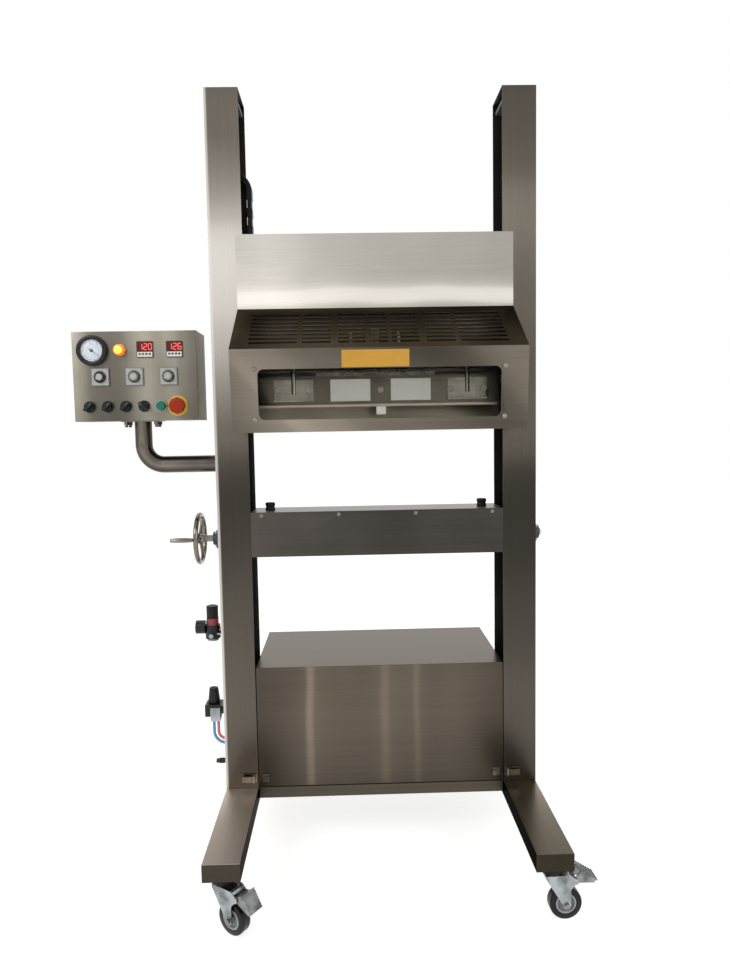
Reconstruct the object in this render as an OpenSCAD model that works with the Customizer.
// External vacuum sealer: a sealing head that rides on two channel columns, with legs on casters,
// a base cabinet with the vacuum pump, a control box on a bent arm and a handwheel lift.
// Millimetres, +Z up, floor at zero, +Y to the back. Places are given from the centre plane of the
// columns and from the columns' front faces, and the whole machine is then set over its own centre.

/* [Frame] */
// Height of the column tops above the floor
overall_h = 1970; // [1800:10:2200]
// Width over both columns
frame_w = 830; // [800:10:900]
// Face width of a column
col_w = 86; // [80:1:100]
// Depth of a column
col_d = 120; // [110:1:140]
// Wall of a column
col_t = 3; // [2:0.5:4]
// Height of a leg section
leg_h = 42; // [36:1:60]
// Reach of the legs in front of the columns
leg_front = 345; // [300:5:400]
// Reach of the legs behind the columns' front faces
leg_rear = 400; // [370:5:450]
// Wall of a leg
leg_t = 3; // [2:0.5:4]
// Underside of the crossbeam above the floor
beam_z = 792; // [760:1:830]
// Height of the crossbeam
beam_h = 117; // [110:1:130]
// Wall of the crossbeam
beam_t = 2.5; // [2:0.5:4]
// Diameter of a rubber stop
stop_d = 26; // [20:1:30]
// Height of a rubber stop
stop_h = 20; // [10:1:22]

/* [Casters] */
// Overall height of a caster
caster_h = 127; // [120:1:140]
// Diameter of a wheel
wheel_d = 75; // [70:1:80]
// Width of a tyre
tyre_w = 25; // [20:1:28]
// Diameter of a wheel hub
hub_d = 47; // [40:1:52]
// Trail of the wheel behind the swivel
trail = 30; // [26:1:34]
// Distance of a swivel from the end of its leg
caster_in = 33; // [30:1:45]
// Wheel axle diameter
axle_d = 8; // [6:1:10]
// Swivel kingpin diameter
kingpin_d = 12; // [10:1:14]
// Sheet of a fork
fork_t = 3; // [2:0.5:4]
// Length of a brake pedal's ribbed foot plate
foot_l = 44; // [36:1:48]
// Heading of the front left caster at rest
heading_fl = -35; // [-60:1:0]
// Heading of the front right caster at rest
heading_fr = 3; // [-20:1:20]
// Heading of the rear left caster at rest
heading_rl = -20; // [-40:1:40]
// Heading of the rear right caster at rest
heading_rr = 200; // [140:1:220]

/* [Lift] */
// Shaft height above the floor
shaft_z = 836; // [830:1:850]
// Shaft distance behind the columns' front faces
shaft_y = 60; // [50:1:62]
// Cross shaft diameter
shaft_d = 18; // [14:1:20]
// Lead screw diameter
screw_d = 20; // [16:1:24]
// Teeth of a mitre gear
gear_teeth = 16; // [12:1:20]
// Pitch diameter of a mitre gear at its large end
gear_d = 44; // [36:1:46]
// Handwheel diameter
handwheel_d = 140; // [120:1:180]
// Handwheel rim section
rim_d = 13; // [10:1:16]
// Handwheel plane outside the column
handwheel_out = 57; // [50:1:70]
// Length of the crank handle
handle_l = 56; // [50:1:90]
// Diameter of the crank handle
handle_d = 13; // [12:1:24]

/* [Head] */
// Width of the hood
hood_w = 700; // [680:5:720]
// Sideways place of the hood
head_x = 5; // [-10:1:10]
// Sheet of the hood
hood_t = 1.5; // [1:0.5:2]
// Lower edge of the hood at rest
hood_z = 1116; // [1080:1:1160]
// Height of the fascia
fascia_h = 194; // [180:1:220]
// Depth of the fascia's upper edge before the columns
hood_d = 174; // [160:1:200]
// Lean of the fascia: how far its lower edge lies behind its upper edge
fascia_lean = 20; // [0:1:40]
// Rise of the grille from the fascia to the backboard
grille_rise = 117; // [100:1:140]
// Height of the backboard
board_h = 185; // [150:1:220]
// Gap between the backboard and the columns
board_gap = 5; // [3:1:10]
// Width of the window
window_w = 572; // [500:1:600]
// Height of the window
window_h = 118; // [100:1:124]
// Window's lower edge above the fascia's lower edge
window_up = 30; // [24:1:40]
// Corner radius of the window
window_r = 14; // [8:1:20]
// Length of the sealing jaws
jaw_l = 600; // [560:5:620]
// Jaw opening from front strip to rear strip
jaw_gap = 27.5; // [24:0.5:32]
// Travel of the rear jaw
jaw_travel = 27; // [20:0.5:27]
// Width of a suction nozzle
nozzle_w = 60; // [40:1:80]
// Nozzle distance from the head's middle
nozzle_x = 120; // [110:1:160]
// Travel of the nozzles
nozzle_travel = 70; // [50:1:70]

/* [Control box] */
// Width of the box
box_w = 314; // [300:1:340]
// Height of the box
box_h = 227; // [220:1:250]
// Depth of the box
box_d = 111; // [90:1:120]
// Underside of the box above the floor
box_z = 1151; // [1120:1:1180]
// Gap between the box and the left column
box_gap = 38; // [30:1:60]
// Sheet of the box
box_t = 1.5; // [1:0.5:2]
// Diameter of the arm tube
arm_d = 44; // [38:1:50]
// Bend radius of the arm tube on its centre line
arm_r = 52; // [48:1:60]
// Height of the arm's level part above the floor
arm_z = 1036; // [1020:1:1050]
// Place of the arm's upright part from the box's left side
arm_in = 157; // [150:1:165]
// Diameter of the vacuum gauge
gauge_d = 77; // [60:1:82]
// Side of a temperature display
display_w = 41; // [38:1:44]
// Side of a timer
timer_w = 45; // [38:1:46]
// Diameter of a timer knob
timer_knob_d = 24; // [20:1:28]
// Diameter of a switch collar
collar_d = 29; // [26:1:31]
// Diameter of the emergency stop's head
estop_d = 42; // [34:1:44]

/* [Cabinet] */
// Underside of the cabinet above the floor
cabinet_z = 142; // [138:1:160]
// Height of the cabinet
cabinet_h = 355; // [320:5:380]
// Depth of the cabinet
cabinet_d = 347; // [320:1:360]
// Gap between the cabinet and a column
cabinet_gap = 2; // [1:0.5:4]
// Sheet of the cabinet
cabinet_t = 1.5; // [1:0.5:2]
// Diameter of the pump motor
motor_d = 130; // [110:1:150]
// Length of the pump motor
motor_l = 210; // [180:5:230]

/* [Air] */
// Place of the regulator body's foot above the floor
reg_z = 565; // [540:1:600]
// Diameter of the regulator body
reg_d = 40; // [34:1:44]
// Diameter of the regulator knob
reg_knob_d = 31; // [28:1:36]
// Underside of the air valve above the floor
valve_z = 353; // [340:1:380]
// Width of the air valve
valve_w = 44; // [36:1:48]
// Diameter of an air tube
tube_d = 8; // [6:1:10]

/* [Hidden] */
$fn = 64;

// Overrun of every cut
over = 1;
// Radial clearance of a running fit
fit = 0.05;
// Gap between pieces that pass each other
gap = 0.5;
// Gap of a piece seated close to another
seat = 0.3;

// Frame
half_w = frame_w / 2;
col_in = half_w - col_w;
leg_top = caster_h + leg_h;
screw_x = half_w - col_w / 2;
beam_top = beam_z + beam_h;
stop_x = 283;
beam_screw_d = 10;
beam_screw_h = 4;
beam_screw_in = 8;
beam_screw_xs = [-300, -100, 100, 300];

// Casters
plate_d = 62;
plate_t = 4;
seal_d = 44;
seal_h = 14;
crown_t = 6;
crown_back = 19;
crown_front = 38;
fork_in = 17;
lug_r = 9;
ear_r = 7;
arch_drop = 18;
wheel_r = wheel_d / 2;
hub_w = 2 * fork_in - 2 * gap;
crown_top = caster_h - plate_t - seal_h - seat;
pedal_out = 20;
pedal_up = 17;
pedal_x = trail + pedal_out;
pedal_z = wheel_d + pedal_up;
pedal_pin_d = 5;
pedal_barrel_d = 10;
pedal_t = 3;
pedal_w = 40;
pedal_turns = [0, 25];
foot_x = 22;
foot_z = 18;
foot_slope = 57;
foot_ribs = 7;
rib_w = 2.4;
rib_h = 1.2;
caster_spots = [
  [-screw_x, -leg_front + caster_in, heading_fl],
  [screw_x, -leg_front + caster_in, heading_fr],
  [-screw_x, leg_rear - caster_in, heading_rl],
  [screw_x, leg_rear - caster_in, heading_rr]
];

// The machine's outer limits, and the shift that sets it over its own centre
rib_x = foot_x + foot_l * cos(foot_slope) + rib_h * sin(foot_slope);
rib_z = foot_z - foot_l * sin(foot_slope) + rib_h * cos(foot_slope);
function pedal_reach(turn) = pedal_x + rib_x * cos(turn) - rib_z * sin(turn);
box_left = -half_w - box_gap - box_w;
limit_right = caster_spots[1][0] + pedal_reach(pedal_turns[1]) * cos(heading_fr)
  + pedal_w / 2 * abs(sin(heading_fr));
limit_front = caster_spots[0][1] + pedal_reach(pedal_turns[0]) * sin(heading_fl)
  - pedal_w / 2 * cos(heading_fl);
mid_x = (box_left + limit_right) / 2;
mid_y = (limit_front + leg_rear) / 2;

// Lift
end_d = 16;
bearing_plate_t = 8;
bearing_depth = 83;
bearing_up = 10;
bearing_drop = 40;
lower_bearing_z = shaft_z + gear_d / 2 + bearing_up;
upper_bearing_z = overall_h - bearing_drop;
screw_foot = shaft_z + shaft_d / 2 + gap;
flange_w = 48;
flange_t = 10;
boss_d = 36;
bearing_out = 21;
shaft_end = 5;
shaft_right = half_w + bearing_out + shaft_end;
gear_face = 8;
gear_back = 5;
tooth_w = 2.4;
tooth_up = 0.9;
tooth_down = 1.5;
wheel_hub_d = 28;
wheel_hub_l = 24;
spoke_d = 9;
spokes = 3;
handle_pin_d = 6;
handle_turn = 4.4;
handwheel_x = -half_w - handwheel_out;

// Head
fascia_top = hood_z + fascia_h;
board_z = fascia_top + grille_rise;
board_back = -board_gap;
board_front = board_back - hood_t;
slope_angle = atan2(grille_rise, hood_d + board_front);
lean_angle = atan2(fascia_lean, fascia_h);
hood_lip = 14;
slot_rows = 8;
slot_first = 24;
slot_pitch = 20;
slot_h = 9;
slot_spans = [[-22, 22], [31, 96], [-96, -31], [114, 182], [-182, -114], [193, 308], [-308, -193]];
hood_screw_d = 9;
hood_screw_h = 3;
hood_screw_x = 294;
label_w = 158;
label_h = 40;
label_t = 0.8;
label_x = -10;
label_up = 150;
pane_t = 3;
pane_lap = 7;
frame_plate_t = 10;
frame_plate_gap = 11;
frame_plate_w = 2 * (col_in - frame_plate_gap);
frame_plate_z = 1265;
frame_plate_h = 335;
head_beam_h = 90;
head_beam_z = 1290;
head_beam_back = 80;
head_beam_t = 5;
carriage_z = 1180;
carriage_h = 220;
nut_d = 40;
nut_h = 10;
shelf_t = 8;
shelf_z = 1271;
shelf_d = 118;
shelf_w = 600;
front_jaw_back = -40;
front_jaw_t = 22;
front_jaw_z = 1176;
front_jaw_h = 76;
strip_t = 0.5;
strip_h = 12;
strip_z = 1184;
silicone_t = 4;
silicone_h = 20;
silicone_z = 1180;
rear_jaw_t = 22;
rear_jaw_h = 60;
rear_jaw_z = 1140;
fittings_shift = 6;
fittings_x = head_x + fittings_shift;
clamp_w = 98;
clamp_h = 54;
clamp_t = 6;
clamp_lip_h = 4;
clamp_lip_d = 8;
clamp_z = 1190;
clamp_x = 215;
clamp_bolt_d = 15;
clamp_bolt_h = 6;
clamp_bolt_x = 40;
hanger_d = 11;
card_w = 99;
card_x = 75;
card_t = 1;
ledge_h = 6;
ledge_d = 12;
guide_w = 24;
guide_h = 20;
rear_jaw_front = front_jaw_back + strip_t + jaw_gap + silicone_t;
press_x = 180;
press_d = 50;
press_l = 64;
press_z = rear_jaw_z + rear_jaw_h / 2;
rod_d = 16;
press_plate_out = 20;
press_plate_y = rear_jaw_front + rear_jaw_t + press_plate_out;
press_plate_t = 8;
press_plate_gap = 2;
press_plate_w = 2 * (col_in - press_plate_gap);
nozzle_y = -25;
nozzle_t = 10;
nozzle_wall = 1.5;
nozzle_h = 46;
nozzle_z = 1206;
nozzle_bar_h = 12;
nozzle_bar_t = 13;
post_d = 10;
post_x = 60;
nozzle_cyl_d = 32;
nozzle_cyl_h = 96;
nozzle_rod_d = 8;

// Cable chain
chain_y = 89;
chain_w = 25;
chain_t = 14;
chain_out = 400;
chain_in = 319;
chain_drop = 175;
chain_top = overall_h - chain_drop;
chain_foot = 1290;
chain_arch_r = (chain_out - chain_in) / 2;
chain_arch_z = chain_top - chain_arch_r - chain_t / 2;
link_pitch = 22;
link_step = 1.2;
trough_t = 1.5;
trough_foot = 520;
trough_top = 1500;
chain_ear_h = 40;

// Control box
box_mid = -half_w - box_gap;
arm_x = box_left + arm_in;
arm_y = 57;
arm_wall = 2;
arm_flange_w = 100;
arm_flange_d = 58;
arm_flange_t = 2;
arm_bolt_x = 39;
arm_bolt_y = 17;
arm_bolt_d = 8;
arm_bolt_l = 14;
arm_nut_d = 13;
arm_wall_flange = 84;
gauge_in = 52;
gauge_up = 179;
gauge_x = box_left + gauge_in;
gauge_z = box_z + gauge_up;
gauge_h = 14;
gauge_bezel = 11;
gauge_dial_t = 7;
needle_t = 1;
needle_l = 22;
needle_w = 1.6;
needle_hub_d = 8;
needle_post_d = 3;
needle_turn = -38;
display_in = 184.5;
display_pitch = 74.4;
display_up = 180;
display_xs = [box_left + display_in, box_left + display_in + display_pitch];
display_z = box_z + display_up;
display_t = 5;
timer_in = 69.7;
timer_pitch = 86.2;
timer_up = 112;
timer_xs = [for (i = [0 : 2]) box_left + timer_in + i * timer_pitch];
timer_z = box_z + timer_up;
timer_t = 5;
timer_ring_d = 30;
timer_ring_t = 3;
timer_knob_h = 7;
post_small_d = 6;
pilot_in = 121.2;
pilot_x = box_left + pilot_in;
pilot_z = box_z + gauge_up;
pilot_d = 31;
pilot_h = 18;
switch_up = 37;
switch_z = box_z + switch_up;
selector_in = 39.5;
selector_pitch = 46;
selector_xs = [for (i = [0 : 3]) box_left + selector_in + i * selector_pitch];
selector_turns = [45, 45, 45, -45];
collar_h = 6;
selector_d = 22;
selector_base = 4;
selector_grip_w = 8;
selector_grip_l = 27;
selector_grip_h = 11;
start_in = 221;
start_x = box_left + start_in;
start_d = 22;
start_h = 5;
start_press = 4;
start_stem_d = 12;
estop_in = 263;
estop_x = box_left + estop_in;
estop_ring_d = 52;
estop_ring_h = 5;
estop_stem_d = 18;
estop_stem_h = 6;
estop_head_h = 11;
estop_press = 5;

// Cabinet
cabinet_half = col_in - cabinet_gap;
cabinet_top = cabinet_z + cabinet_h;
tray_bar_h = 12.7;
tray_bar_d = 30;
tray_bar_in = 24;
tray_bar_top = cabinet_z - seat;
pump_w = 190;
pump_h = 170;
pump_d = 190;
pump_foot_h = 20;
pump_x = -140;
pump_port_d = 40;
pump_port_h = 45;
latch_z = 187;
latch_h = 22;
latch_plate_t = 2;
latch_out = 11;
latch_pivot_x = col_in + latch_out;
latch_pivot_y = -8;
latch_pivot_d = 4;
latch_barrel_d = 8;
latch_lever_l = 30;
latch_lever_t = 3;
strike_in = 28;
strike_x = cabinet_half - strike_in;
strike_w = 18;
bail_d = 3;
latch_ear_t = 3;

// Air
reg_out = 32;
reg_x = -half_w - reg_out;
reg_h = 36;
reg_ring_h = 19;
reg_knob_h = 33;
reg_foot_h = 6;
reg_foot_d = 30;
reg_elbow_d = 12;
reg_elbow_l = 12;
reg_bracket_w = 30;
reg_bracket_t = 4;
reg_gauge_d = 36;
reg_gauge_h = 24;
reg_gauge_drop = 10;
reg_port_d = 13;
valve_out = 35;
valve_x = -half_w - valve_out;
valve_h = 9;
valve_cap_h = 23;
valve_knob_h = 42;
valve_knob_d = 24;
valve_knob_top_d = 33;
fitting_w = 26;
fitting_h = 37;
fitting_drop = 12;
fitting_z = valve_z - fitting_drop;
fitting_out = 3;
fitting_d = 25;
tube_pitch = 12;
tube_gap = 3;
tube_z = 309;
tube_y = shaft_y - valve_w / 2 + fitting_d / 2 - fitting_out;
nipple_z = 221;
nipple_l = 34;
nipple_d = 17;
nipple_ribs = 4;
nipple_tip_d = 12;
nipple_tip_l = 6;
nipple_rib_l = (nipple_l - nipple_tip_l) / nipple_ribs;

// Shared shapes
module place() {
  translate([-mid_x, -mid_y, 0]) children();
}

module block(lo, hi) {
  translate(lo) cube(hi - lo);
}

module both_sides() {
  children();
  mirror([1, 0, 0]) children();
}

// A disc whose axis runs along Y, from y0 to y1
module disc_y(x, z, d, y0, y1) {
  translate([x, y0, z]) rotate([-90, 0, 0]) cylinder(d = d, h = y1 - y0);
}

// A round bar along X, from x0 to x1
module bar_x(y, z, d, x0, x1) {
  translate([x0, y, z]) rotate([0, 90, 0]) cylinder(d = d, h = x1 - x0);
}

// Frame
module leg(side) {
  difference() {
    block([side < 0 ? -half_w : col_in, -leg_front, caster_h],
          [side < 0 ? -col_in : half_w, leg_rear, leg_top]);
    block([(side < 0 ? -half_w : col_in) + leg_t, -leg_front + leg_t, caster_h + leg_t],
          [(side < 0 ? -col_in : half_w) - leg_t, leg_rear - leg_t, leg_top - leg_t]);
  }
}

module legs() {
  color("lightsteelblue") place() {
    leg(-1);
    leg(1);
  }
}

module caster_plates() {
  color("dimgray") place() for (spot = caster_spots)
    translate([spot[0], spot[1], caster_h]) {
      translate([0, 0, -plate_t]) cylinder(d = plate_d, h = plate_t);
      translate([0, 0, -plate_t - seal_h]) cylinder(d = seal_d, h = seal_h);
      translate([0, 0, crown_top - crown_t - caster_h - 2 * gap])
        cylinder(d = kingpin_d, h = crown_t + seal_h + 2 * gap);
    }
}

// A channel open to the inside, with its cap; the right column is the left one mirrored
module column_shell(holes) {
  difference() {
    block([-half_w, 0, leg_top], [-col_in, col_d, overall_h]);
    block([-half_w + col_t, col_t, leg_top - over], [-col_in + over, col_d - col_t, overall_h - col_t]);
    bar_x(shaft_y, shaft_z, shaft_d + 2 * over, -half_w - over, -half_w + col_t + over);
    if (holes) bar_x(arm_y, arm_z, arm_d - 2 * arm_wall, -half_w - over, -half_w + col_t + over);
  }
}

module trough() {
  difference() {
    block([-half_w + col_t, chain_y - gap - trough_t, trough_foot],
          [-col_in - gap, chain_y + chain_w + gap + trough_t, trough_top]);
    block([-chain_out - chain_t / 2 - gap, chain_y - gap, trough_foot - over],
          [-col_in + over, chain_y + chain_w + gap, trough_top + over]);
  }
}

module left_column() {
  color("silver") place() {
    column_shell(true);
    trough();
  }
}

module right_column() {
  color("silver") place() mirror([1, 0, 0]) column_shell(false);
}

module crossbeam() {
  color("silver") place() {
    difference() {
      block([-col_in, 0, beam_z], [col_in, col_d, beam_top]);
      block([-col_in - over, beam_t, beam_z + beam_t], [col_in + over, col_d - beam_t, beam_top - beam_t]);
    }
    for (x = beam_screw_xs)
      disc_y(x, beam_top - beam_screw_in, beam_screw_d, -beam_screw_h, 0);
  }
}

module beam_stops() {
  color("black") place() both_sides()
    translate([stop_x, shaft_y, beam_top]) cylinder(d = stop_d, h = stop_h);
}

// A plate across the channel that carries a screw's end
module screw_bearing(z) {
  difference() {
    block([col_in + gap, col_t, z], [half_w - col_t, bearing_depth, z + bearing_plate_t]);
    translate([screw_x, shaft_y, z - over]) cylinder(d = end_d + 2 * fit, h = bearing_plate_t + 2 * over);
  }
}

module flange_bearing() {
  difference() {
    union() {
      block([half_w, shaft_y - flange_w / 2, shaft_z - flange_w / 2],
            [half_w + flange_t, shaft_y + flange_w / 2, shaft_z + flange_w / 2]);
      bar_x(shaft_y, shaft_z, boss_d, half_w, half_w + bearing_out);
    }
    bar_x(shaft_y, shaft_z, shaft_d + 2 * fit, half_w - over, half_w + bearing_out + over);
  }
}

module bearings() {
  color("slategray") place() both_sides() {
    flange_bearing();
    screw_bearing(lower_bearing_z);
    screw_bearing(upper_bearing_z);
  }
}

// Lift
// A mitre gear about +Z whose cone's point is the origin, from its face up to its back
module mitre_gear(bore, phase) {
  pitch_r = gear_d / 2;
  small_r = pitch_r - gear_face;
  root = norm([tooth_down, tooth_down]);
  difference() {
    union() {
      translate([0, 0, small_r]) cylinder(r1 = small_r - root, r2 = pitch_r - root, h = gear_face);
      translate([0, 0, pitch_r]) cylinder(r = pitch_r - root, h = gear_back);
      for (i = [0 : gear_teeth - 1])
        rotate([0, 0, phase + i * 360 / gear_teeth]) translate([small_r, 0, small_r]) rotate([0, -45, 0])
          block([0, -tooth_w / 2, -tooth_up], [gear_face * sqrt(2), tooth_w / 2, tooth_down]);
    }
    translate([0, 0, -over]) cylinder(r = bore / 2, h = pitch_r + gear_back + 2 * over);
  }
}

module cross_shaft() {
  color("silver") place() {
    bar_x(shaft_y, shaft_z, shaft_d, handwheel_x - wheel_hub_l / 2, shaft_right);
    both_sides() translate([screw_x, shaft_y, shaft_z]) rotate([0, -90, 0])
      mitre_gear(shaft_d, 180 / gear_teeth);
  }
}

module handwheel() {
  color("gainsboro") place() translate([handwheel_x, shaft_y, shaft_z]) {
    rim_r = handwheel_d / 2 - rim_d / 2;
    difference() {
      union() {
        rotate([0, 90, 0]) rotate_extrude() translate([rim_r, 0]) circle(d = rim_d);
        bar_x(0, 0, wheel_hub_d, -wheel_hub_l / 2, wheel_hub_l / 2);
        for (i = [0 : spokes - 1])
          rotate([90 + i * 360 / spokes, 0, 0]) cylinder(d = spoke_d, h = rim_r);
      }
      bar_x(0, 0, shaft_d, -wheel_hub_l, wheel_hub_l);
    }
    rotate([90 - handle_turn, 0, 0]) translate([0, 0, rim_r])
      bar_x(0, 0, handle_pin_d, -handle_l - rim_d / 2 - gap - over, 0);
  }
}

module crank_handle() {
  color("gainsboro") place() translate([handwheel_x, shaft_y, shaft_z])
    rotate([90 - handle_turn, 0, 0]) translate([0, 0, handwheel_d / 2 - rim_d / 2]) difference() {
      bar_x(0, 0, handle_d, -handle_l - rim_d / 2 - gap, -rim_d / 2 - gap);
      bar_x(0, 0, handle_pin_d + 2 * fit, -handle_l - rim_d / 2 - gap - over, over);
    }
}

module lead_screw(side) {
  color("darkkhaki") place() translate([side * screw_x, shaft_y, 0]) {
    translate([0, 0, screw_foot]) cylinder(d = end_d, h = upper_bearing_z + bearing_plate_t - screw_foot);
    translate([0, 0, lower_bearing_z + bearing_plate_t + gap])
      cylinder(d = screw_d, h = upper_bearing_z - lower_bearing_z - bearing_plate_t - 2 * gap);
    translate([0, 0, shaft_z]) mitre_gear(end_d - over, 0);
  }
}

module left_screw() lead_screw(-1);
module right_screw() lead_screw(1);

// Head
module head_frame() {
  color("gray") place() {
    block([-frame_plate_w / 2, board_back, frame_plate_z],
          [frame_plate_w / 2, board_back + frame_plate_t, frame_plate_z + frame_plate_h]);
    difference() {
      block([-col_in - 2 * gap, board_back + frame_plate_t, head_beam_z],
            [col_in + 2 * gap, head_beam_back, head_beam_z + head_beam_h]);
      block([-col_in - over - 2 * gap, board_back + frame_plate_t + head_beam_t, head_beam_z + head_beam_t],
            [col_in + over + 2 * gap, head_beam_back - head_beam_t, head_beam_z + head_beam_h - head_beam_t]);
    }
    difference() {
      block([-shelf_w / 2, -shelf_d, shelf_z], [shelf_w / 2, board_back, shelf_z + shelf_t]);
      for (x = [-post_x, post_x]) translate([x, nozzle_y, shelf_z - over])
        cylinder(d = post_d + 2 * fit, h = shelf_t + 2 * over);
      translate([0, nozzle_y, shelf_z - over]) cylinder(d = nozzle_rod_d + 2 * fit, h = shelf_t + 2 * over);
    }
    difference() {
      union() {
        block([-press_plate_w / 2, press_plate_y, hood_z],
              [press_plate_w / 2, press_plate_y + press_plate_t, head_beam_z]);
        block([-press_plate_w / 2, press_plate_y, hood_z],
              [press_plate_w / 2, head_beam_back, hood_z + press_plate_t]);
      }
      for (x = [-press_x, press_x])
        disc_y(x, press_z, rod_d + 2 * fit, press_plate_y - over, press_plate_y + press_plate_t + over);
    }
    block([-chain_in - chain_t / 2, head_beam_back, head_beam_z],
          [-chain_in + chain_t / 2, chain_y - seat, head_beam_z + chain_ear_h]);
  }
}

module carriage() {
  difference() {
    union() {
      block([col_in + 2 * gap, col_t + gap, carriage_z],
            [half_w - col_t - gap, chain_y - trough_t - 2 * gap, carriage_z + carriage_h]);
      translate([screw_x, shaft_y, carriage_z - nut_h]) cylinder(d = nut_d, h = nut_h);
    }
    translate([screw_x, shaft_y, carriage_z - nut_h - over])
      cylinder(d = screw_d + 2 * fit, h = carriage_h + nut_h + 2 * over);
  }
}

module carriages() {
  color("goldenrod") place() both_sides() carriage();
}

// The bent sheet's outer corners in depth and height, from the backboard's top to the lower lip
hood_path = [
  [board_front, board_z + board_h], [board_front, board_z], [-hood_d, fascia_top],
  [-hood_d + fascia_lean, hood_z], [-hood_d + fascia_lean + hood_lip, hood_z]
];

// The unit vector to the right of the way from a to b, which is the sheet's inner side here
function inner_side(a, b) = [-(b[1] - a[1]), b[0] - a[0]] / norm(b - a);

// The corner b moved inwards by t from both of its edges
function inner_corner(a, b, c, t) =
  let (n = inner_side(a, b), m = inner_side(b, c)) b + t * (n + m) / (1 + n * m);

// The path moved inwards by t
function inner_path(t) = [
  for (i = [0 : len(hood_path) - 1])
    i == 0 ? hood_path[0] + t * inner_side(hood_path[0], hood_path[1])
    : i == len(hood_path) - 1 ? hood_path[i] + t * inner_side(hood_path[i - 1], hood_path[i])
    : inner_corner(hood_path[i - 1], hood_path[i], hood_path[i + 1], t)
];

module hood_sheet() {
  inner = inner_path(hood_t);
  rotate([90, 0, 90]) linear_extrude(hood_w)
    polygon(concat(hood_path, [for (i = [len(inner) - 1 : -1 : 0]) inner[i]]));
}

module cheek_sheet() {
  mid = inner_path(hood_t / 2);
  rotate([90, 0, 90]) linear_extrude(hood_t)
    polygon([mid[1], mid[2], mid[3], [board_front + hood_t / 2, mid[3][1]]]);
}

module on_fascia() {
  translate([0, -hood_d + fascia_lean, hood_z]) rotate([lean_angle, 0, 0]) children();
}

// The window's opening with round corners
module window_cut() {
  half = window_w / 2;
  top = window_up + window_h;
  block([-half + window_r, -over, window_up], [half - window_r, hood_t + over, top]);
  block([-half, -over, window_up + window_r], [half, hood_t + over, top - window_r]);
  for (x = [-half + window_r, half - window_r], z = [window_up + window_r, top - window_r])
    disc_y(x, z, 2 * window_r, -over, hood_t + over);
}

module hood() {
  color("silver") place() translate([head_x, 0, 0]) {
    difference() {
      translate([-hood_w / 2, 0, 0]) hood_sheet();
      translate([0, -hood_d, fascia_top]) rotate([slope_angle, 0, 0])
        for (row = [0 : slot_rows - 1], span = slot_spans)
          block([span[0], slot_first + row * slot_pitch, -hood_t - over],
                [span[1], slot_first + row * slot_pitch + slot_h, over]);
      on_fascia() window_cut();
    }
    for (x = [-hood_w / 2 + hood_t / 2, hood_w / 2 - 3 * hood_t / 2]) translate([x, 0, 0]) cheek_sheet();
    on_fascia() {
      for (x = [-hood_screw_x, hood_screw_x], z = [window_up, window_up + window_h])
        disc_y(x, z, hood_screw_d, -hood_screw_h, hood_t / 2);
      block([label_x - label_w / 2, -label_t, label_up],
            [label_x + label_w / 2, hood_t / 2, label_up + label_h]);
    }
  }
}

module window_pane() {
  color("lightcyan", 0.4) place() translate([head_x, 0, 0]) on_fascia()
    block([-window_w / 2 - pane_lap, hood_t, window_up - pane_lap],
          [window_w / 2 + pane_lap, hood_t + pane_t, window_up + window_h + pane_lap]);
}

module front_jaw() {
  front = front_jaw_back - front_jaw_t;
  color("gainsboro") place() {
    block([-jaw_l / 2, front, front_jaw_z], [jaw_l / 2, front_jaw_back, front_jaw_z + front_jaw_h]);
    block([-jaw_l / 2 + ledge_h, front_jaw_back, strip_z],
          [jaw_l / 2 - ledge_h, front_jaw_back + strip_t, strip_z + strip_h]);
    block([-jaw_l / 2, front - ledge_d, front_jaw_z], [jaw_l / 2, front, front_jaw_z + ledge_h]);
    block([fittings_x - guide_w / 2, front - ledge_d, front_jaw_z - guide_h],
          [fittings_x + guide_w / 2, front, front_jaw_z]);
    disc_y(fittings_x, clamp_z + clamp_h / 2, clamp_bolt_d, front - clamp_bolt_h, front);
    for (side = [-1, 1]) translate([fittings_x + side * clamp_x, 0, 0]) {
      block([-clamp_w / 2, front - clamp_t, clamp_z], [clamp_w / 2, front, clamp_z + clamp_h]);
      block([-clamp_w / 2, front - clamp_t - clamp_lip_d, clamp_z],
            [clamp_w / 2, front, clamp_z + clamp_lip_h]);
      for (x = [-clamp_bolt_x, clamp_bolt_x])
        disc_y(x, clamp_z + clamp_h / 2, clamp_bolt_d, front - clamp_t - clamp_bolt_h, front - clamp_t);
      translate([0, front - clamp_t, clamp_z + clamp_h / 3])
        cylinder(d = hanger_d, h = shelf_z - clamp_z - clamp_h / 3);
    }
    for (side = [-1, 1])
      block([fittings_x + side * card_x - card_w / 2, front - card_t, clamp_z],
            [fittings_x + side * card_x + card_w / 2, front, clamp_z + clamp_h]);
  }
}

module cylinders() {
  color("lightgray") place() {
    for (x = [-press_x, press_x]) difference() {
      disc_y(x, press_z, press_d, press_plate_y + press_plate_t, press_plate_y + press_plate_t + press_l);
      disc_y(x, press_z, rod_d + 2 * fit, press_plate_y + press_plate_t - over,
             press_plate_y + press_plate_t + press_l - press_d / 5);
    }
    translate([0, nozzle_y, shelf_z + shelf_t]) difference() {
      cylinder(d = nozzle_cyl_d, h = nozzle_cyl_h);
      translate([0, 0, -over]) cylinder(d = nozzle_rod_d + 2 * fit, h = nozzle_cyl_h - nozzle_rod_d);
    }
  }
}

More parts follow.
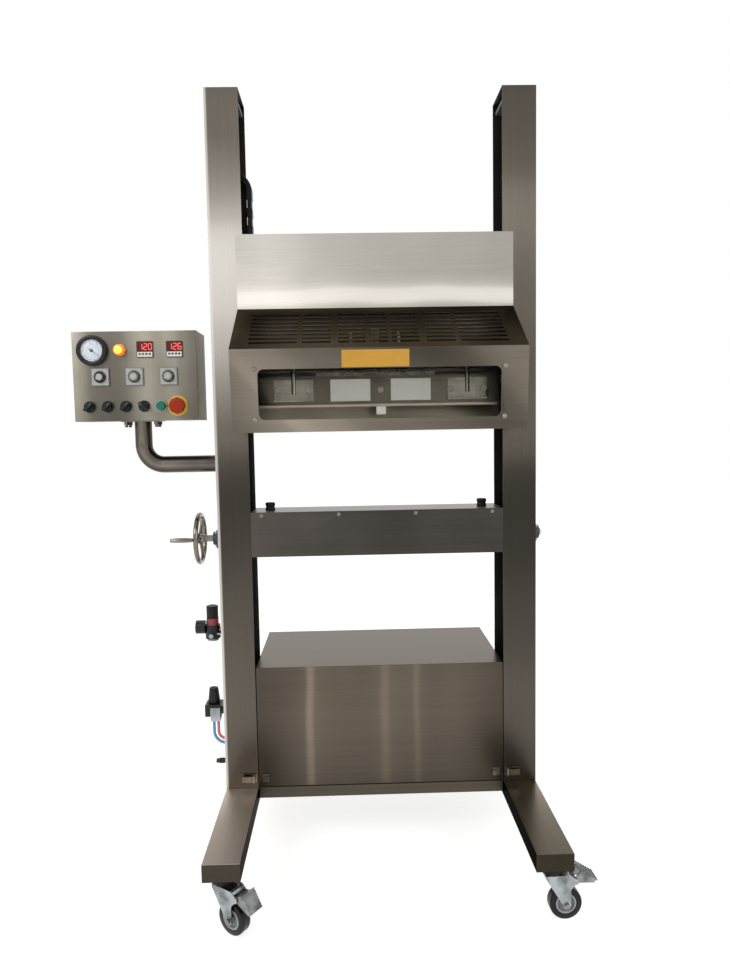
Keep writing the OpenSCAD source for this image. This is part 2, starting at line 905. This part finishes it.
module rear_jaw() {
  color("gainsboro") place() {
    block([-jaw_l / 2, rear_jaw_front, rear_jaw_z],
          [jaw_l / 2, rear_jaw_front + rear_jaw_t, rear_jaw_z + rear_jaw_h]);
    block([-jaw_l / 2, rear_jaw_front - silicone_t, silicone_z],
          [jaw_l / 2, rear_jaw_front, silicone_z + silicone_h]);
    for (x = [-press_x, press_x])
      disc_y(x, press_z, rod_d, rear_jaw_front + rear_jaw_t,
             press_plate_y + press_plate_t + jaw_travel + 2 * gap);
  }
}

module nozzles() {
  bar_z = nozzle_z + nozzle_h;
  color("whitesmoke") place() translate([0, nozzle_y, 0]) {
    for (x = [-nozzle_x, nozzle_x]) difference() {
      block([x - nozzle_w / 2, -nozzle_t / 2, nozzle_z], [x + nozzle_w / 2, nozzle_t / 2, bar_z]);
      block([x - nozzle_w / 2 + nozzle_wall, -nozzle_t / 2 + nozzle_wall, nozzle_z - over],
            [x + nozzle_w / 2 - nozzle_wall, nozzle_t / 2 - nozzle_wall, bar_z - nozzle_wall]);
    }
    block([-nozzle_x - nozzle_w / 2, -nozzle_bar_t / 2, bar_z],
          [nozzle_x + nozzle_w / 2, nozzle_bar_t / 2, bar_z + nozzle_bar_h]);
    for (x = [-post_x, post_x]) translate([x, 0, bar_z + nozzle_bar_h])
      cylinder(d = post_d, h = nozzle_travel + shelf_z + shelf_t - bar_z);
    translate([0, 0, bar_z + nozzle_bar_h])
      cylinder(d = nozzle_rod_d, h = nozzle_travel + shelf_z + shelf_t - bar_z - nozzle_bar_h + 2 * gap);
  }
}

// The chain's loop, drawn as links that step in and out
module chain_strand(x) {
  links = floor((chain_arch_z - chain_foot) / link_pitch);
  for (i = [0 : links - 1]) {
    inset = i % 2 == 0 ? 0 : link_step;
    block([x - chain_t / 2 + inset, chain_y + inset, chain_arch_z - (i + 1) * link_pitch],
          [x + chain_t / 2 - inset, chain_y + chain_w - inset, chain_arch_z - i * link_pitch]);
  }
}

module chain_loop() {
  color("black") place() {
    chain_strand(-chain_out);
    chain_strand(-chain_in);
    translate([-(chain_out + chain_in) / 2, chain_y + chain_w, chain_arch_z]) rotate([90, 0, 0])
      rotate_extrude(angle = 180) translate([chain_arch_r - chain_t / 2, 0]) square([chain_t, chain_w]);
  }
}

// Control box
module box_shell() {
  color("silver") place() difference() {
    block([box_left, 0, box_z], [box_mid, box_d - box_t, box_z + box_h]);
    block([box_left + box_t, box_t, box_z + box_t], [box_mid - box_t, box_d, box_z + box_h - box_t]);
  }
}

module box_cover() {
  color("silver") place() block([box_left, box_d - box_t, box_z], [box_mid, box_d, box_z + box_h]);
}

module arm_tube(d) {
  translate([arm_x, arm_y, arm_z + arm_r]) cylinder(d = d, h = box_z - arm_flange_t - arm_z - arm_r);
  translate([arm_x + arm_r, arm_y, arm_z + arm_r]) rotate([90, 0, 0]) rotate([0, 0, 180])
    rotate_extrude(angle = 90) translate([arm_r, 0]) circle(d = d);
  bar_x(arm_y, arm_z, d, arm_x + arm_r, -half_w - arm_flange_t);
}

module control_arm() {
  color("silver") place() {
    difference() {
      arm_tube(arm_d);
      arm_tube(arm_d - 2 * arm_wall);
    }
    block([arm_x - arm_flange_w / 2, arm_y - arm_flange_d / 2, box_z - arm_flange_t],
          [arm_x + arm_flange_w / 2, arm_y + arm_flange_d / 2, box_z]);
    block([-half_w - arm_flange_t, arm_y - arm_wall_flange / 2 + col_t, arm_z - arm_wall_flange / 2],
          [-half_w, arm_y + arm_wall_flange / 2, arm_z + arm_wall_flange / 2]);
    for (x = [-arm_bolt_x, arm_bolt_x], y = [-arm_bolt_y, arm_bolt_y])
      translate([arm_x + x, arm_y + y, box_z - arm_flange_t]) {
        translate([0, 0, -arm_bolt_d]) cylinder(d = arm_nut_d, h = arm_bolt_d, $fn = 6);
        translate([0, 0, -arm_bolt_l]) cylinder(d = arm_bolt_d, h = arm_bolt_l);
      }
  }
}

module gauge() {
  color("black") place() {
    difference() {
      disc_y(gauge_x, gauge_z, gauge_d, -gauge_h, 0);
      disc_y(gauge_x, gauge_z, gauge_d - 2 * gauge_bezel, -gauge_h - over, -gauge_dial_t);
    }
    disc_y(gauge_x, gauge_z, needle_post_d, -gauge_dial_t - needle_t - gap - over, -gauge_dial_t);
  }
}

module gauge_needle() {
  color("black") place() translate([gauge_x, -gauge_dial_t - seat, gauge_z]) rotate([0, -needle_turn, 0])
    difference() {
      union() {
        disc_y(0, 0, needle_hub_d, -needle_t, 0);
        block([-needle_l / 4, -needle_t, -needle_w / 2], [needle_l, 0, needle_w / 2]);
      }
      disc_y(0, 0, needle_post_d + 2 * fit, -needle_t - over, over);
    }
}

module displays() {
  color("darkred") place() for (x = display_xs)
    block([x - display_w / 2, -display_t, display_z - display_w / 2],
          [x + display_w / 2, 0, display_z + display_w / 2]);
}

module timers() {
  color("dimgray") place() for (x = timer_xs) {
    block([x - timer_w / 2, -timer_t, timer_z - timer_w / 2], [x + timer_w / 2, 0, timer_z + timer_w / 2]);
    disc_y(x, timer_z, timer_ring_d, -timer_t - timer_ring_t, -timer_t);
    disc_y(x, timer_z, post_small_d, -timer_t - timer_ring_t - timer_knob_h + 3 * over, -timer_t);
  }
}

module timer_knob(x) {
  front = -timer_t - timer_ring_t - seat;
  color("lightgray") place() difference() {
    disc_y(x, timer_z, timer_knob_d, front - timer_knob_h, front);
    disc_y(x, timer_z, post_small_d + 2 * fit, front - timer_knob_h + 2 * over, front + over);
  }
}

module timer_knob_left() timer_knob(timer_xs[0]);
module timer_knob_middle() timer_knob(timer_xs[1]);
module timer_knob_right() timer_knob(timer_xs[2]);

module pilot_lamp() {
  color("orange") place() disc_y(pilot_x, pilot_z, pilot_d, -pilot_h, 0);
}

module collar(x, outer, h, bore) {
  difference() {
    disc_y(x, switch_z, outer, -h, 0);
    disc_y(x, switch_z, bore + 2 * fit, -h - over, over);
  }
}

module switch_collars() {
  color("silver") place() {
    for (x = selector_xs) collar(x, collar_d, collar_h, post_small_d);
    collar(start_x, collar_d, collar_h, start_stem_d);
    collar(estop_x, estop_ring_d, estop_ring_h, estop_stem_d);
  }
}

module selector(i) {
  color("black") place() translate([selector_xs[i], 0, switch_z]) rotate([0, selector_turns[i], 0]) {
    disc_y(0, 0, post_small_d, -collar_h - seat, -seat);
    disc_y(0, 0, selector_d, -collar_h - seat - selector_base, -collar_h - seat);
    block([-selector_grip_w / 2, -collar_h - seat - selector_base - selector_grip_h, -selector_grip_l / 2],
          [selector_grip_w / 2, -collar_h - seat - selector_base, selector_grip_l / 2]);
  }
}

module selector_1() selector(0);
module selector_2() selector(1);
module selector_3() selector(2);
module selector_4() selector(3);

module start_button() {
  color("green") place() {
    disc_y(start_x, switch_z, start_stem_d, -collar_h - start_h, -start_press - seat);
    disc_y(start_x, switch_z, start_d, -collar_h - 2 * start_h, -collar_h - start_h);
  }
}

module estop_head() {
  color("red") place() {
    disc_y(estop_x, switch_z, estop_stem_d, -estop_ring_h - estop_stem_h, -estop_press - seat);
    disc_y(estop_x, switch_z, estop_d, -estop_ring_h - estop_stem_h - estop_head_h,
           -estop_ring_h - estop_stem_h);
  }
}

// Cabinet
module cabinet_cover() {
  color("silver") place() difference() {
    block([-cabinet_half, 0, cabinet_z], [cabinet_half, cabinet_d - cabinet_t, cabinet_top]);
    block([-cabinet_half + cabinet_t, cabinet_t, cabinet_z - over],
          [cabinet_half - cabinet_t, cabinet_d, cabinet_top - cabinet_t]);
  }
}

module cabinet_tray() {
  inner = cabinet_half - cabinet_t - seat;
  color("gray") place() {
    block([-inner, cabinet_t + seat, tray_bar_top], [inner, cabinet_d, tray_bar_top + cabinet_t]);
    block([-inner, cabinet_d - cabinet_t, tray_bar_top], [inner, cabinet_d, cabinet_top - cabinet_t - seat]);
    for (y = [tray_bar_in, cabinet_d - tray_bar_in - tray_bar_d])
      block([-col_in, y, tray_bar_top - tray_bar_h], [col_in, y + tray_bar_d, tray_bar_top]);
  }
}

module vacuum_pump() {
  floor_z = tray_bar_top + cabinet_t;
  mid = cabinet_d / 2;
  color("seagreen") place() {
    for (x = [pump_x - pump_w / 3, pump_x + pump_w / 3 - pump_foot_h])
      block([x, mid - pump_d / 3, floor_z], [x + pump_foot_h, mid + pump_d / 3, floor_z + pump_foot_h]);
    block([pump_x - pump_w / 2, mid - pump_d / 2, floor_z + pump_foot_h],
          [pump_x + pump_w / 2, mid + pump_d / 2, floor_z + pump_foot_h + pump_h]);
    bar_x(mid, floor_z + pump_foot_h + pump_h / 2, motor_d, pump_x + pump_w / 2,
          pump_x + pump_w / 2 + motor_l);
    translate([pump_x, mid, floor_z + pump_foot_h + pump_h]) cylinder(d = pump_port_d, h = pump_port_h);
  }
}

module latch_base() {
  block([latch_pivot_x - latch_barrel_d, -latch_plate_t, latch_z],
        [latch_pivot_x + latch_lever_l, 0, latch_z + latch_h]);
  for (z = [latch_z, latch_z + latch_h - latch_ear_t])
    block([latch_pivot_x - latch_pivot_d / 2, latch_pivot_y, z],
          [latch_pivot_x + latch_pivot_d / 2, 0, z + latch_ear_t]);
  translate([latch_pivot_x, latch_pivot_y, latch_z]) cylinder(d = latch_pivot_d, h = latch_h);
  block([strike_x, -latch_plate_t, latch_z], [strike_x + strike_w, 0, latch_z + latch_h]);
  block([strike_x, -latch_plate_t - bail_d, latch_z + latch_h / 3],
        [strike_x + strike_w / 2, -latch_plate_t, latch_z + 2 * latch_h / 3]);
}

module latch_plates() {
  color("silver") place() both_sides() latch_base();
}

module latch_lever() {
  lo = latch_z + latch_ear_t + seat;
  hi = latch_z + latch_h - latch_ear_t - seat;
  difference() {
    union() {
      translate([latch_pivot_x, latch_pivot_y, lo]) cylinder(d = latch_barrel_d, h = hi - lo);
      block([latch_pivot_x, latch_pivot_y - latch_barrel_d / 2, lo],
            [latch_pivot_x + latch_lever_l, latch_pivot_y - latch_barrel_d / 2 + latch_lever_t, hi]);
    }
    translate([latch_pivot_x, latch_pivot_y, lo - over])
      cylinder(d = latch_pivot_d + 2 * fit, h = hi - lo + 2 * over);
  }
}

module left_latch() {
  color("silver") place() mirror([1, 0, 0]) latch_lever();
}

module right_latch() {
  color("silver") place() latch_lever();
}

// Air
module regulator() {
  color("darkslategray") place() {
    translate([reg_x, shaft_y, reg_z]) {
      cylinder(d = reg_d, h = reg_h);
      translate([0, 0, reg_h]) cylinder(d = reg_knob_d + over, h = reg_ring_h);
      translate([0, 0, -reg_foot_h]) cylinder(d = reg_foot_d, h = reg_foot_h);
      translate([0, 0, reg_h]) cylinder(d = post_small_d, h = reg_ring_h + reg_knob_h - over);
    }
    block([reg_x, shaft_y - reg_bracket_w / 2, reg_z + reg_h / 3],
          [-half_w, shaft_y + reg_bracket_w / 2, reg_z + reg_h / 3 + reg_bracket_t]);
    bar_x(shaft_y, reg_z + reg_h / 2 + reg_bracket_t, reg_port_d, reg_x, -half_w);
    disc_y(reg_x, reg_z + reg_h / 3, reg_elbow_d, shaft_y - reg_d / 2 - reg_elbow_l, shaft_y);
    bar_x(shaft_y, reg_z + reg_h - reg_gauge_drop + reg_bracket_t, reg_gauge_d,
          reg_x - reg_d / 2 - reg_gauge_h, reg_x - reg_d / 2 + over);
  }
}

module regulator_knob() {
  foot = reg_z + reg_h + reg_ring_h + seat;
  color("black") place() translate([reg_x, shaft_y, foot]) difference() {
    cylinder(d = reg_knob_d, h = reg_knob_h);
    translate([0, 0, -over]) cylinder(d = post_small_d + 2 * fit, h = reg_knob_h);
  }
}

module air_valve() {
  color("dimgray") place() {
    block([valve_x - valve_w / 2, shaft_y - valve_w / 2, valve_z],
          [valve_x + valve_w / 2, shaft_y + valve_w / 2, valve_z + valve_h + valve_cap_h]);
    block([valve_x + valve_w / 2, shaft_y - valve_w / 2, valve_z + valve_h],
          [-half_w, shaft_y + valve_w / 2, valve_z + valve_h + reg_bracket_t]);
    translate([valve_x + tube_pitch / 2, tube_y, fitting_z])
      block([-fitting_w / 2, -fitting_d / 2, 0], [fitting_w / 2, fitting_d / 2, fitting_h]);
    translate([valve_x, shaft_y, valve_z + valve_h + valve_cap_h])
      cylinder(d = post_small_d, h = valve_knob_h - over);
    translate([-half_w - nipple_l, shaft_y, nipple_z]) rotate([0, 90, 0]) {
      cylinder(d = nipple_tip_d, h = nipple_l);
      for (i = [0 : nipple_ribs - 1]) translate([0, 0, nipple_tip_l + i * nipple_rib_l])
        cylinder(d1 = nipple_tip_d, d2 = nipple_d, h = nipple_rib_l);
    }
  }
}

module valve_knob() {
  foot = valve_z + valve_h + valve_cap_h + seat;
  color("black") place() translate([valve_x, shaft_y, foot]) difference() {
    cylinder(d1 = valve_knob_top_d, d2 = valve_knob_d, h = valve_knob_h);
    translate([0, 0, -over]) cylinder(d = post_small_d + 2 * fit, h = valve_knob_h);
  }
}

// A tube that hangs from the valve and bends into the column's side
module air_tube(i) {
  bend = valve_out - i * tube_pitch - tube_gap;
  x = valve_x + i * tube_pitch;
  translate([x, tube_y, tube_z]) cylinder(d = tube_d, h = fitting_z - tube_z);
  translate([x + bend, tube_y, tube_z]) rotate([90, 0, 0]) rotate([0, 0, 180])
    rotate_extrude(angle = 90) translate([bend, 0]) circle(d = tube_d);
  bar_x(tube_y, tube_z - bend, tube_d, x + bend, -half_w);
}

module air_tubes() {
  color("royalblue") place() for (i = [0, 1]) air_tube(i);
}

// Casters
module at_caster(i) {
  place() translate([caster_spots[i][0], caster_spots[i][1], 0])
    rotate([0, 0, caster_spots[i][2]]) children();
}

// A fork's cheek in the plane of its wheel; only the front forks have an ear for the pedal's pin
module cheek(braked) {
  linear_extrude(fork_t) polygon(concat(
    [[-crown_back, crown_top], [crown_front, crown_top]],
    braked ? [[pedal_x, pedal_z + ear_r - gap], [pedal_x, pedal_z - ear_r + gap]] : [],
    [[trail + lug_r, pedal_z - arch_drop], [trail + lug_r - gap, wheel_r], [trail - lug_r + gap, wheel_r],
     [-crown_back, crown_top - crown_t]]
  ));
  translate([trail, wheel_r, 0]) cylinder(r = lug_r, h = fork_t);
  if (braked) translate([pedal_x, pedal_z, 0]) cylinder(r = ear_r, h = fork_t);
}

module fork_pin(x, z, d) {
  translate([x, 0, z]) rotate([90, 0, 0]) cylinder(d = d, h = 2 * (fork_in + fork_t), center = true);
}

module fork(i) {
  braked = i < len(pedal_turns);
  color("lightgray") at_caster(i) {
    difference() {
      block([-crown_back, -fork_in - fork_t, crown_top - crown_t],
            [crown_front, fork_in + fork_t, crown_top]);
      translate([0, 0, crown_top - crown_t - over]) cylinder(d = kingpin_d + 2 * fit, h = crown_t + 2 * over);
    }
    for (y = [-fork_in, fork_in + fork_t]) translate([0, y, 0]) rotate([90, 0, 0]) cheek(braked);
    fork_pin(trail, wheel_r, axle_d);
    if (braked) fork_pin(pedal_x, pedal_z, pedal_pin_d);
  }
}

module wheel(i) {
  color("dimgray") at_caster(i) translate([trail, 0, wheel_r]) rotate([90, 0, 0]) {
    difference() {
      cylinder(d = hub_d, h = hub_w, center = true);
      cylinder(d = axle_d + 2 * fit, h = hub_w + 2 * over, center = true);
    }
    difference() {
      cylinder(d = wheel_d, h = tyre_w, center = true);
      cylinder(d = hub_d + 2 * fit, h = tyre_w + 2 * over, center = true);
    }
  }
}

// The point s along the foot plate and t over its face, from the pedal's hinge
function foot_point(s, t) = [
  foot_x + s * cos(foot_slope) + t * sin(foot_slope), foot_z - s * sin(foot_slope) + t * cos(foot_slope)
];

module pedal_foot() {
  translate([foot_x, 0, foot_z]) rotate([0, foot_slope, 0]) {
    block([0, -pedal_w / 2, -pedal_t], [foot_l, pedal_w / 2, 0]);
    for (k = [0 : foot_ribs - 1]) translate([k * (foot_l - rib_w) / (foot_ribs - 1), 0, 0])
      block([0, -pedal_w / 2, -over], [rib_w, pedal_w / 2, rib_h]);
  }
}

module pedal(i) {
  w = fork_in - gap;
  color("lightgray") at_caster(i) translate([pedal_x, 0, pedal_z])
    rotate([0, -pedal_turns[i], 0]) difference() {
    union() {
      rotate([90, 0, 0]) cylinder(d = pedal_barrel_d, h = 2 * w, center = true);
      for (y = [-w + pedal_t, w]) translate([0, y, 0]) rotate([90, 0, 0]) linear_extrude(pedal_t)
        polygon([[0, pedal_barrel_d / 2 - gap], foot_point(gap, -gap), foot_point(foot_l - gap, -gap),
                 foot_point(foot_l - gap, -pedal_barrel_d), [0, -pedal_barrel_d / 2 + gap]]);
      pedal_foot();
    }
    rotate([90, 0, 0]) cylinder(d = pedal_pin_d + 2 * fit, h = 2 * w + 2 * over, center = true);
  }
}

module fork_front_left() fork(0);
module fork_front_right() fork(1);
module fork_rear_left() fork(2);
module fork_rear_right() fork(3);
module wheel_front_left() wheel(0);
module wheel_front_right() wheel(1);
module wheel_rear_left() wheel(2);
module wheel_rear_right() wheel(3);
module pedal_left() pedal(0);
module pedal_right() pedal(1);

legs();
caster_plates();
left_column();
right_column();
crossbeam();
beam_stops();
bearings();
control_arm();
box_shell();
box_cover();
gauge();
displays();
timers();
pilot_lamp();
switch_collars();
cabinet_cover();
cabinet_tray();
latch_plates();
vacuum_pump();
regulator();
air_valve();
air_tubes();
cross_shaft();
handwheel();
crank_handle();
left_screw();
right_screw();
head_frame();
carriages();
hood();
window_pane();
front_jaw();
cylinders();
rear_jaw();
nozzles();
chain_loop();
gauge_needle();
timer_knob_left();
timer_knob_middle();
timer_knob_right();
selector_1();
selector_2();
selector_3();
selector_4();
start_button();
estop_head();
regulator_knob();
valve_knob();
left_latch();
right_latch();
fork_front_left();
fork_front_right();
fork_rear_left();
fork_rear_right();
wheel_front_left();
wheel_front_right();
wheel_rear_left();
wheel_rear_right();
pedal_left();
pedal_right();
